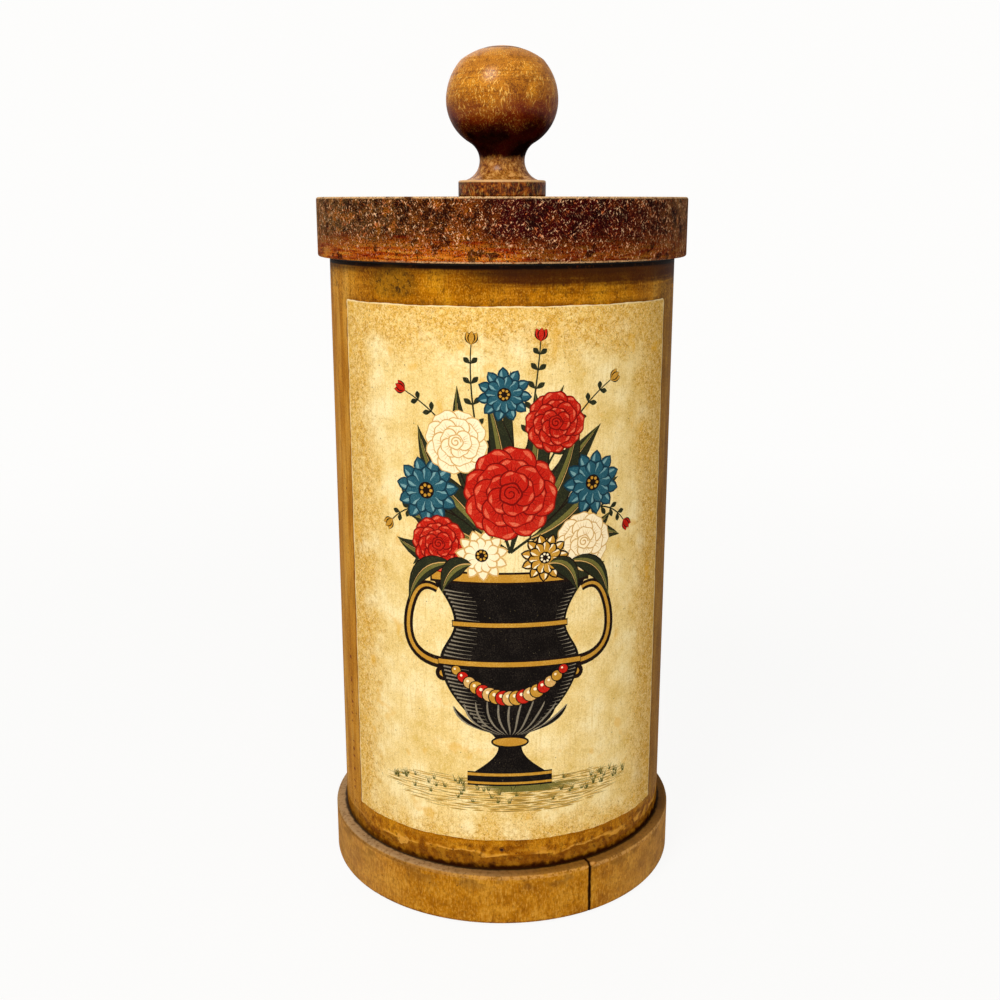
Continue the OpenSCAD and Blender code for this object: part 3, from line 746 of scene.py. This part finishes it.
class Picture:
    """Shapes of the print on its flat paper, later ones on top.

    Places are millimetres from the middle of the paper's lower edge."""

    def __init__(self):
        self.shapes = []
        self.chance = random.Random(PRINT_SEED)

    def draw(self, tone, outline):
        self.shapes.append((tone, outline))

    def stroke(self, tone, start, bend, end, count, half_width):
        self.draw(tone, ribbon(bezier(start, bend, end, count), half_width))

    def petal(self, centre, turn, length, width, fullest, tones):
        """A petal with a dark edge, a body and a lit tip."""
        line, body, lit = tones
        along = heading(turn)
        centre = Vector(centre)
        for tone, reach, across in ((line, length, width), (body, length - 0.55, width - 0.9)):
            path = [centre + along * reach * i / 8 for i in range(9)]
            self.draw(tone, ribbon(path, blade(across, fullest)))
        side = left_of(along) * width * 0.12
        start = centre + along * length * 0.45 + side
        end = centre + along * length * 0.88 + side
        self.stroke(lit, start, (start + end) / 2 + side, end, 6, blade(width * 0.22, 0.6))

    def cup(self, middle, turn, size, tones):
        """A round petal, notched at its lip, with a lit lip and fine veins."""
        line, body, lit = tones
        out = heading(turn)
        side = left_of(out)
        for tone, grow in ((line, 0.3), (body, -0.1)):
            outline = []
            for a in round_turns(26):
                notch = 0.16 * max(0.0, 1 - (min(a, 2 * pi - a) / 0.5) ** 2)
                reach = (size + grow) * (1 - notch)
                outline.append(middle + out * 0.88 * reach * cos(a) + side * 1.05 * reach * sin(a))
            self.draw(tone, outline)
        for way in (-1, 1):
            lip = [middle + (out * 0.68 * cos(a) + side * way * 0.84 * sin(a)) * size
                   for a in (0.28 + 0.16 * i for i in range(7))]
            self.draw(lit, ribbon(lip, blade(size * 0.24, 0.4)))
        for lean in (-0.5, -0.15, 0.2, 0.52):
            start = middle + side * lean * size * 0.5
            end = middle + out * size * 0.55 + side * lean * size
            self.stroke(line, start, (start + end) / 2, end, 4, lambda t: 0.13 * (1 - t))

    def rose(self, centre, radius, tones):
        """Rings of round petals that close in on a curled heart."""
        line, body, _ = tones
        centre = Vector(centre)
        for away, size, count in ((0.66, 0.36, 8), (0.45, 0.33, 7), (0.25, 0.27, 5)):
            start = self.chance.uniform(0, pi)
            for i in range(count):
                turn = start + 2 * pi * (i + self.chance.uniform(-0.1, 0.1)) / count
                middle = centre + heading(turn) * radius * away
                self.cup(middle, turn, radius * size * self.chance.uniform(0.94, 1.06), tones)
        for tone, share in ((line, 0.24), (body, 0.20)):
            self.draw(tone, blob(centre, radius * share, None, 5, 0.06, 0.4))
        curl = [centre + heading(a) * radius * 0.17 * (1 - a / 11) for a in (0.5 * i for i in range(19))]
        self.draw(line, ribbon(curl, lambda t: 0.22))

    def aster(self, centre, radius, count, tones, heart):
        """Two rings of narrow petals round a dotted heart."""
        start = self.chance.uniform(0, pi)
        for reach, shift in ((1.0, 0.0), (0.72, 0.5)):
            for i in range(count):
                turn = start + 2 * pi * (i + shift) / count
                self.petal(centre, turn, radius * reach, radius * 0.42, 0.72, tones)
        self.draw("line", blob(centre, radius * 0.25, count=14))
        for turn in round_turns(7):
            dot = Vector(centre) + heading(turn) * radius * 0.15
            self.draw(heart, blob(dot, radius * 0.05, count=8))

    def leaf(self, base, bend, tip, width):
        """A dark leaf with one lit half and a pale rib."""
        path = bezier(base, bend, tip)
        last = len(path) - 1
        half = blade(width * 0.42, 0.45)
        for tone, across in (("line", width), ("leaf", width - 0.8)):
            self.draw(tone, ribbon(path, blade(across, 0.45)))
        lit = [point + side * (half(i / last) * 0.55 + 0.12)
               for i, (point, side) in enumerate(zip(path, sides_of(path)))]
        self.draw("olive", ribbon(lit, lambda t: half(t) * 0.42))
        self.draw("ochre", ribbon(path[:-1], lambda t: 0.16 * (1 - t) + 0.04))

    def sprig(self, base, bend, tip, pairs, tone):
        """A thin stem with pairs of small leaves and a bud at its tip."""
        path = bezier(base, bend, tip, 2 * pairs)
        self.draw("leaf", ribbon(path, lambda t: 0.45 * (1 - 0.6 * t)))
        for i in range(1, pairs):
            point = path[2 * i]
            along = (path[2 * i + 1] - path[2 * i - 1]).normalized()
            turn = atan2(along.y, along.x)
            for side in (-1, 1):
                reach = heading(turn + side * 0.85) * (5.2 - 2.6 * i / pairs)
                self.stroke("leaf", point, point + reach * 0.6, point + reach, 6, blade(1.7, 0.55))
        self.bud(path[-1], atan2(path[-1].y - path[-2].y, path[-1].x - path[-2].x), tone)

    def bud(self, centre, turn, tone):
        for spread in (-0.4, 0.4, 0.0):
            path = [centre + heading(turn + spread) * 4.2 * i / 6 for i in range(7)]
            self.draw("line", ribbon(path, blade(2.5, 0.5)))
            self.draw(tone, ribbon(path, blade(1.7, 0.5)))


# Ground of the print: its lowest row, its middle and half height, and half its length
GROUND_LOW, GROUND_MIDDLE, GROUND_RISE, GROUND_REACH = 10.8, 17.2, 7.4, 44
# Its hatching (tone, rows, their step, thickness of a stroke and gap after it), shadow and tufts of grass
HATCHING = (("sand", 13, 0.95, 0.75, 2.2), ("turf", 19, 0.66, 0.30, 4.5))
SHADOW_LOW, SHADOW_STEP, SHADOW_ROWS = 18.0, 0.45, 6
TUFTS, TUFT_BLADES = 64, 6

# Urn of the print: heights above the paper's lower edge and half widths of its sections
PLINTH_LOW, PLINTH_TOP, PLINTH_R = 20.0, 25.0, 14.0
FOOT_TOP, FOOT_R, STEM_R = 34.0, 11.5, 3.8
KNOP_TOP, KNOP_R = 37.5, 5.6
KNOP_NECK = KNOP_R * 0.8
BOWL_TOP, BOWL_R = 63.0, 23.0
NECK_TOP, NECK_R = 76.0, 18.0
LIP_TOP, LIP_R = 90.0, 25.0
BAND_TOP, BAND_R = 93.5, 26.0
# Its flutes to each side of the middle one, rows of shading with the lowest and their step, and beads
FLUTE_PAIRS = 5
SHADE_LOW, SHADE_STEP, SHADE_ROWS = 41.5, 1.3, 36
BEADS = 17


def urn_half_width(v):
    """Half width of the urn at a height."""
    if v <= FOOT_TOP:
        share = (v - PLINTH_TOP) / (FOOT_TOP - PLINTH_TOP)
        return STEM_R + (FOOT_R - STEM_R) * (1 - sin(pi / 2 * share))
    if v <= KNOP_TOP:
        return KNOP_NECK
    if v <= BOWL_TOP:
        share = (v - KNOP_TOP) / (BOWL_TOP - KNOP_TOP)
        return KNOP_NECK + (BOWL_R - KNOP_NECK) * sin(pi / 2 * share) ** 0.9
    if v <= NECK_TOP:
        share = (v - BOWL_TOP) / (NECK_TOP - BOWL_TOP)
        return NECK_R + (BOWL_R - NECK_R) * (1 + cos(pi * share)) / 2
    share = (v - NECK_TOP) / (LIP_TOP - NECK_TOP)
    return NECK_R + (LIP_R - NECK_R) * (1 - cos(pi / 2 * share))


def urn_slice(low, high, grow=0.0, count=14):
    """Outline of the urn between two heights, grown sideways."""
    heights = [low + (high - low) * i / count for i in range(count + 1)]
    right = [Vector((urn_half_width(v) + grow, v)) for v in heights]
    left = [Vector((-urn_half_width(v) - grow, v)) for v in heights]
    return right + left[::-1]


def draw_ground(picture):
    """A patch of ground, hatched in broken strokes as an engraver does, with a shadow and grass."""
    chance = picture.chance
    for tone, rows, step, thick, gap in HATCHING:
        for row in range(rows):
            v = GROUND_LOW + step * row
            reach = GROUND_REACH * sqrt(max(0.04, 1 - ((v - GROUND_MIDDLE) / GROUND_RISE) ** 2))
            u = -reach + chance.uniform(-2, 5)
            while u < reach - 3:
                length = chance.uniform(3, 10)
                start = Vector((u, v + chance.uniform(-0.2, 0.2)))
                end = Vector((min(u + length, reach), v + chance.uniform(-0.3, 0.3)))
                bend = (start + end) / 2 + Vector((0, chance.uniform(-0.4, 0.5)))
                near = 1 - min(1, abs((u + length / 2 - 6) / 32))
                picture.stroke(tone, start, bend, end, 6, blade(thick * (0.6 + 0.6 * near), 0.5))
                u += length + chance.uniform(0.3, gap) * (1.3 - near)
    for row in range(SHADOW_ROWS):
        v = SHADOW_LOW + SHADOW_STEP * row
        off = abs(row - SHADOW_ROWS / 2)
        end = (33 - 3 * off - chance.uniform(0, 5), v - 0.3)
        picture.stroke("olive", (-11 + 2 * off, v), (8, v + 0.2), end, 10, blade(0.55, 0.35))
    for i in range(TUFTS):
        u = chance.uniform(-42, 44)
        v = 18.5 + chance.uniform(-5.5, 3.0) * (1 - (u / 50) ** 2)
        for j in range(TUFT_BLADES):
            lean = 0.5 * (j - (TUFT_BLADES - 1) / 2) + chance.uniform(-0.3, 0.3)
            tall = chance.uniform(1.0, 2.6)
            picture.stroke("olive" if (i + j) % 4 else "leaf", (u + 0.25 * lean, v),
                           (u + 0.4 * lean, v + tall * 0.7), (u + lean, v + tall), 4,
                           lambda t: 0.13 * (1 - t))


def draw_urn(picture):
    """A black urn with gold bands, flutes, scroll handles and a garland."""
    draw = picture.draw
    for side in (-1, 1):
        outer = bezier((side * 20.5, 62), (side * 37, 62), (side * 34, 78), 12)
        outer += bezier((side * 34, 78), (side * 31, 91), (side * 23.5, 87), 10)[1:]
        draw("line", ribbon(outer, lambda t: 2.1 - 0.7 * t))
        draw("gold", ribbon(outer, lambda t: 0.75 - 0.3 * t))
        curl = (side * 22.0, 58.5)
        draw("line", blob(curl, 2.6, count=16))
        draw("gold", blob(curl, 1.2, count=12))
    draw("black", bar(PLINTH_R, PLINTH_LOW, PLINTH_TOP))
    draw("black", urn_slice(PLINTH_TOP, FOOT_TOP))
    draw("black", urn_slice(FOOT_TOP, LIP_TOP, count=40))
    knop = (0, (FOOT_TOP + KNOP_TOP) / 2)
    draw("black", blob(knop, KNOP_R + 0.6, 2.4, count=20))
    draw("gold", blob(knop, KNOP_R, 1.5, count=20))
    draw("gold", bar(PLINTH_R, PLINTH_TOP - 1.5, PLINTH_TOP - 0.5))
    draw("gold", bar(PLINTH_R, PLINTH_LOW + 0.6, PLINTH_LOW + 1.4))
    for i in range(-FLUTE_PAIRS, FLUTE_PAIRS + 1):
        tip = (i * 3.75, KNOP_TOP + 13 - 0.12 * i * i)
        flute = bezier((i * 0.75, KNOP_TOP + 0.8), (i * 3.2, KNOP_TOP + 4), tip, 8)
        draw("grey", ribbon(flute, blade(1.9, 0.62)))
        draw("black", ribbon([p + Vector((0.35, 0)) for p in flute], blade(1.2, 0.62)))
    for row in range(SHADE_ROWS):
        v = SHADE_LOW + row * SHADE_STEP
        half = urn_half_width(v)
        inner = 0.52 + 0.10 * picture.chance.random()
        picture.stroke("grey", (-0.95 * half, v), (-0.75 * half, v - 0.5), (-inner * half, v - 0.7), 5,
                       lambda t: 0.30 * (1 - t))
        picture.stroke("grey", (0.96 * half, v), (0.9 * half, v - 0.3), (0.80 * half, v - 0.4), 4,
                       lambda t: 0.20 * (1 - t))
    for low, high in ((BOWL_TOP - 1.2, BOWL_TOP + 0.4), (NECK_TOP - 0.8, NECK_TOP + 0.6)):
        draw("line", urn_slice(low - 0.5, high + 0.5, 0.7, 4))
        draw("gold", urn_slice(low, high, 0.5, 4))
    draw("line", bar(BAND_R, LIP_TOP - 0.6, BAND_TOP))
    draw("gold", bar(BAND_R - 0.6, LIP_TOP + 0.2, BAND_TOP - 0.7))
    for i in range(BEADS):
        share = i / (BEADS - 1) * 2 - 1
        place = (share * 17.5, 60.0 - 9.0 * (1 - share ** 2))
        size = 1.5 + 1.0 * (1 - share ** 2)
        lit = (place[0] - size * 0.3, place[1] + size * 0.3)
        draw("line", blob(place, size + 0.35, count=14))
        draw(("gold", "red", "ochre")[i % 3], blob(place, size, count=14))
        draw("cream", blob(lit, size * 0.25, count=8))


# Flowers of the bouquet: kind, place, radius and colour
FLOWERS = (
    ("aster", (-27, 119), 11.0, "blue"),
    ("aster", (27, 121), 10.5, "blue"),
    ("rose", (-17, 135), 10.5, "cream"),
    ("rose", (14, 141), 10.0, "red"),
    ("aster", (-2, 150), 8.5, "blue"),
    ("rose", (-23, 102), 9.5, "red"),
    ("rose", (24, 102), 10.0, "cream"),
    ("aster", (11, 98), 8.0, "gold"),
    ("aster", (-9, 99), 8.5, "cream"),
    ("rose", (0, 119), 15.5, "red"),
)
FLOWER_TONES = {
    "red": ("red_dark", "red", "red_light"),
    "blue": ("blue_dark", "blue", "blue_light"),
    "cream": ("ochre", "cream", "cream"),
    "gold": ("line", "gold", "cream"),
}
# Sprigs: tip, bend and colour of the bud
SPRIGS = (
    ((-34, 150), (-12, 140), "red"),
    ((33, 153), (14, 142), "gold"),
    ((-12, 165), (-14, 140), "gold"),
    ((9, 166), (8, 150), "red"),
    ((-40, 108), (-26, 122), "gold"),
    ((40, 107), (28, 122), "red"),
)
# Heart that the stems rise from, pairs of leaves on a sprig, large leaves, and petals in a ring of an aster
HEART = Vector((0, 100))
SPRIG_PAIRS = 9
LEAVES = 19
ASTER_PETALS = 11


def draw_bouquet(picture):
    """Leaves, sprigs and flowers that rise out of the urn."""
    for tip, bend, tone in SPRIGS:
        picture.sprig(HEART, bend, tip, SPRIG_PAIRS, tone)
    for i in range(LEAVES):
        turn = radians(-8 + 196 * i / (LEAVES - 1))
        reach = 38 + 8 * sin(turn) + 5 * (i % 2)
        way = heading(turn)
        side = left_of(way) * (6 if i % 2 else -6)
        tip = HEART + Vector((way.x * reach * 0.88, way.y * reach * 1.12))
        picture.leaf(HEART + way * 8, HEART + way * reach * 0.6 + side, tip, 8.5)
    for kind, place, radius, tone in FLOWERS:
        if kind == "rose":
            picture.rose(place, radius, FLOWER_TONES[tone])
        else:
            heart = "gold" if tone != "gold" else "cream"
            picture.aster(place, radius, ASTER_PETALS, FLOWER_TONES[tone], heart)
    for side in (-1, 1):
        for drop, out in ((82, 34), (86, 22)):
            picture.leaf((side * out * 0.55, 96), (side * out * 0.9, 97), (side * out, drop), 6.5)


def paper_outline():
    """The paper's edge: nearly straight cuts with a little wander, rounded at the corners."""
    ends = []
    for turn, right, top, radius in ((-90, 1, -1, PAPER_CORNER), (0, 1, 1, 2 * PAPER_CORNER),
                                     (90, -1, 1, PAPER_CORNER), (180, -1, -1, PAPER_CORNER)):
        middle = Vector(((PAPER_W / 2 - radius) * right, PAPER_H / 2 + (PAPER_H / 2 - radius) * top))
        ends.append([middle + radius * heading(radians(turn + a)) for a in (0, 22, 45, 68, 90)])
    outline = []
    for here, after in zip(ends, ends[1:] + ends[:1]):
        outline += here
        run = after[0] - here[-1]
        count = int(run.length / PAPER_STEP)
        inward = left_of(run).normalized()
        for i in range(1, count):
            along = run.length * i / count
            wander = 0.10 * sin(along * 0.31 + run.x) + 0.07 * sin(along * 1.17 + run.y)
            outline.append(here[-1] + run * (i / count) + inward * (PAPER_CUT + wander))
    return outline


def inside(outline, places):
    """For each place, whether it lies inside a closed outline."""
    found = np.zeros(len(places), bool)
    across, up = places.T
    for a, b in zip(outline, outline[1:] + outline[:1]):
        if a.y != b.y:
            crossed = (a.y > up) != (b.y > up)
            found ^= crossed & (across < a.x + (up - a.y) * (b.x - a.x) / (b.y - a.y))
    return found


def printed_tones(shapes, places):
    """The tone of the topmost shape at each place, and None off the paper."""
    tones = np.full(len(places), None, object)
    for tone, outline in shapes:
        low = np.min(outline, axis=0)
        high = np.max(outline, axis=0)
        near = np.nonzero(((places > low) & (places < high)).all(1))[0]
        tones[near[inside(outline, places[near])]] = tone
    return tones


def flat_triangles(shapes):
    """Points and triangles of the flat print, cut along every outline and into upright strips."""
    points, edges = [], []
    for _, outline in shapes:
        first = len(points)
        count = len(outline)
        points += outline
        edges += [(first + i, first + (i + 1) % count) for i in range(count)]
    strips = int(PAPER_W / PRINT_STRIP)
    for i in range(1, strips):
        across = PAPER_W * (i / strips - 0.5)
        edges.append((len(points), len(points) + 1))
        points += [Vector((across, -PRINT_STRIP)), Vector((across, PAPER_H + PRINT_STRIP))]
    flat, _, triangles, *_ = delaunay_2d_cdt(points, edges, [], 0, PRINT_MERGE, False)
    return flat, triangles


def on_tube(place):
    """The point in metres where a place of the flat paper lies on the tube."""
    turn = PAPER_TURN + place.x / TUBE_R
    return Vector((PAPER_R * sin(turn), -PAPER_R * cos(turn), PAPER_LOW + place.y)) * MM


def add_object(name, data):
    piece = bpy.data.objects.new(name, data)
    bpy.context.scene.collection.objects.link(piece)
    return piece


def add_mesh(name, mesh, *materials):
    """An object of a mesh that is done, smooth all over."""
    bmesh.ops.recalc_face_normals(mesh, faces=mesh.faces[:])
    for face in mesh.faces:
        face.smooth = True
    data = bpy.data.meshes.new(name)
    mesh.to_mesh(data)
    mesh.free()
    for material in materials:
        data.materials.append(material)
    return add_object(name, data)


def make_print():
    """The pasted paper with its picture, as one closed sheet wrapped round the tube."""
    picture = Picture()
    draw_ground(picture)
    draw_urn(picture)
    draw_bouquet(picture)
    shapes = [("paper", paper_outline())] + picture.shapes
    flat, triangles = flat_triangles(shapes)
    tones = printed_tones(shapes, np.array(flat)[np.array(triangles)].mean(1))
    names = ["paper"] + list(INKS)
    mesh = bmesh.new()
    corners = {}
    for triangle, tone in zip(triangles, tones):
        if tone is not None:
            for i in triangle:
                if i not in corners:
                    corners[i] = mesh.verts.new(on_tube(flat[i]))
            mesh.faces.new([corners[i] for i in triangle]).material_index = names.index(tone)
    under = bmesh.ops.extrude_face_region(mesh, geom=mesh.faces[:])["geom"]
    shrink = (TUBE_R + PASTE_GAP) / PAPER_R
    for part in under:
        if isinstance(part, bmesh.types.BMVert):
            part.co.xy *= shrink
    inks = [ink("ink_" + name, *look) for name, look in INKS.items()]
    piece = add_mesh("print_paper", mesh, plain_paper(), *inks)
    piece.data.set_sharp_from_angle(angle=SHARP_ANGLE)
    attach(piece, "canister")
    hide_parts("print_sheet")


def join_rings(mesh, inner, outer):
    for i in range(len(inner)):
        mesh.faces.new((inner[i - 1], outer[i - 1], outer[i], inner[i]))


def make_felt(material):
    """The felt disc let into the underside, with a soft uneven face and edge."""
    chance = random.Random(FELT_SEED)
    mesh = bmesh.new()
    rims = []
    for level, sign in ((0.0, 1), (FELT_T, -1)):
        rings = []
        for number in range(1, FELT_RINGS + 1):
            ring = []
            for turn in round_turns(FELT_SPOKES):
                radius = FELT_R * (number / FELT_RINGS)
                if number == FELT_RINGS:
                    radius -= FELT_FRAY * chance.random()
                    lift = FELT_EDGE
                else:
                    lift = FELT_NAP * chance.random()
                place = Vector((*heading(turn) * radius, level + sign * lift))
                ring.append(mesh.verts.new(place * MM))
            rings.append(ring)
        middle = mesh.verts.new((0, 0, (level + sign * FELT_MIDDLE) * MM))
        for i in range(FELT_SPOKES):
            mesh.faces.new((middle, rings[0][i - 1], rings[0][i]))
        for inner, outer in zip(rings, rings[1:]):
            join_rings(mesh, inner, outer)
        rims.append(rings[-1])
    join_rings(mesh, *rims)
    piece = add_mesh("felt_disc", mesh, material)
    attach(piece, "canister")
    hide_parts("base_felt")
    across = 2 * FELT_R * MM
    pi * across ** 2 / 4


def finish_nodes():
    """Gives every CAD node its material."""
    bare = plain_wood("bare_wood", (164, 120, 70), (212, 172, 118), 71, (34, 1.6, 1.6),
                      (34 / 6, 1.6 / 9, 1.6 / 9), 0.4, 0.3, 0.6)
    cedar_sheet = plain_wood("cedar_sheet", (132, 76, 44), (186, 122, 78), 75, (3.2, 3.2, 60),
                             (0.35, 0.35, 7), 0.3, 0.25, 0.62)
    cedar_board = plain_wood("cedar_board", (136, 80, 46), (188, 126, 82), 77, (30, 1.8, 1.8),
                             (5, 0.2, 0.2), 0.4, 0.3, 0.62)
    steel = metal("steel", (176, 172, 164), (112, 100, 84), 81, 0.34, 0.12)
    brass = metal("brass", (186, 140, 62), (112, 78, 34), 85, 0.34, 0.16)
    finishes = {
        "base_disc": base_wood(), "base_plug": bare, "base_screws": steel, "body_tube": tube_varnish(),
        "tube_brads": brad_iron(), "cedar_lining": cedar_sheet, "cedar_floor": cedar_board,
        "lid_disc": lid_wood(), "lid_plug": bare, "lid_seal": cork(), "knob": knob_wood(),
        "knob_screw": steel, "knob_washer": steel, "humidifier_cup": brass, "humidifier_screws": brass,
        "humidifier_clay": clay(), "humidifier_cover": brass,
    }
    for name, material in finishes.items():
        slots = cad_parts[name].data.materials
        slots.clear()
        slots.append(material)


def make_floor():
    """A white seamless floor that keeps a faint shadow."""
    data = bpy.data.meshes.new("floor")
    corners = [(*corner, 0) for corner in bar(FLOOR_HALF, -FLOOR_HALF, FLOOR_HALF)]
    data.from_pydata(corners, [], [(0, 1, 2, 3)])
    floor = add_object("floor", data)
    floor.location.z = -FLOOR_DROP
    material = bpy.data.materials.new("floor")
    nodes = Nodes(material)
    nodes.tree.nodes.clear()
    white = nodes.value("Emission", {"Color": BACKDROP})
    plain = nodes.value("BsdfDiffuse", {"Color": FLOOR_GREY})
    place = nodes.value("TexCoord", {}, "Object")
    away = nodes.value("VectorMath", {0: place}, "Value", operation="LENGTH")
    whiteness = nodes.value("MapRange", {"Value": away, "From Min": FLOOR_NEAR, "From Max": FLOOR_FAR,
                                         "To Min": WHITE_NEAR, "To Max": WHITE_FAR},
                            interpolation_type="SMOOTHSTEP")
    share = nodes.seen_directly() * whiteness
    nodes.add("OutputMaterial", {0: nodes.value("MixShader", {0: share, 1: plain, 2: white})})
    data.materials.append(material)


def make_world():
    """White surroundings that light the part less than they show."""
    world = bpy.data.worlds.new("studio")
    bpy.context.scene.world = world
    nodes = Nodes(world)
    strength = nodes.value("MapRange", {"Value": nodes.seen_directly(), "To Min": WORLD_LIGHT})
    background = nodes.tree.nodes["Background"].inputs
    nodes.put(background["Color"], BACKDROP)
    nodes.put(background["Strength"], strength)


def make_lamps():
    """Soft round lamps that face the part."""
    for name, (place, size, power, mirrored) in LAMPS.items():
        lamp = bpy.data.lights.new(name, "AREA")
        lamp.shape = "DISK"
        lamp.size = size
        lamp.energy = power
        piece = add_object(name, lamp)
        piece.location = place
        piece.rotation_euler = (LAMP_AIM - Vector(place)).to_track_quat("-Z", "Y").to_euler()
        piece.visible_glossy = mirrored


def make_camera():
    data = bpy.data.cameras.new("camera")
    data.sensor_width = SENSOR_MM
    data.lens = SENSOR_MM * FOCAL_PIXELS / IMAGE_PIXELS
    data.clip_start = CAMERA_NEAR
    camera = add_object("camera", data)
    camera.location = CAMERA_PLACE
    camera.rotation_euler = (pi / 2 - CAMERA_DOWN, 0, CAMERA_LEFT)
    bpy.context.scene.camera = camera


bpy.context.scene.view_settings.view_transform = "Standard"
make_camera()
make_floor()
make_world()
make_lamps()
finish_nodes()
make_print()
make_felt(felt())
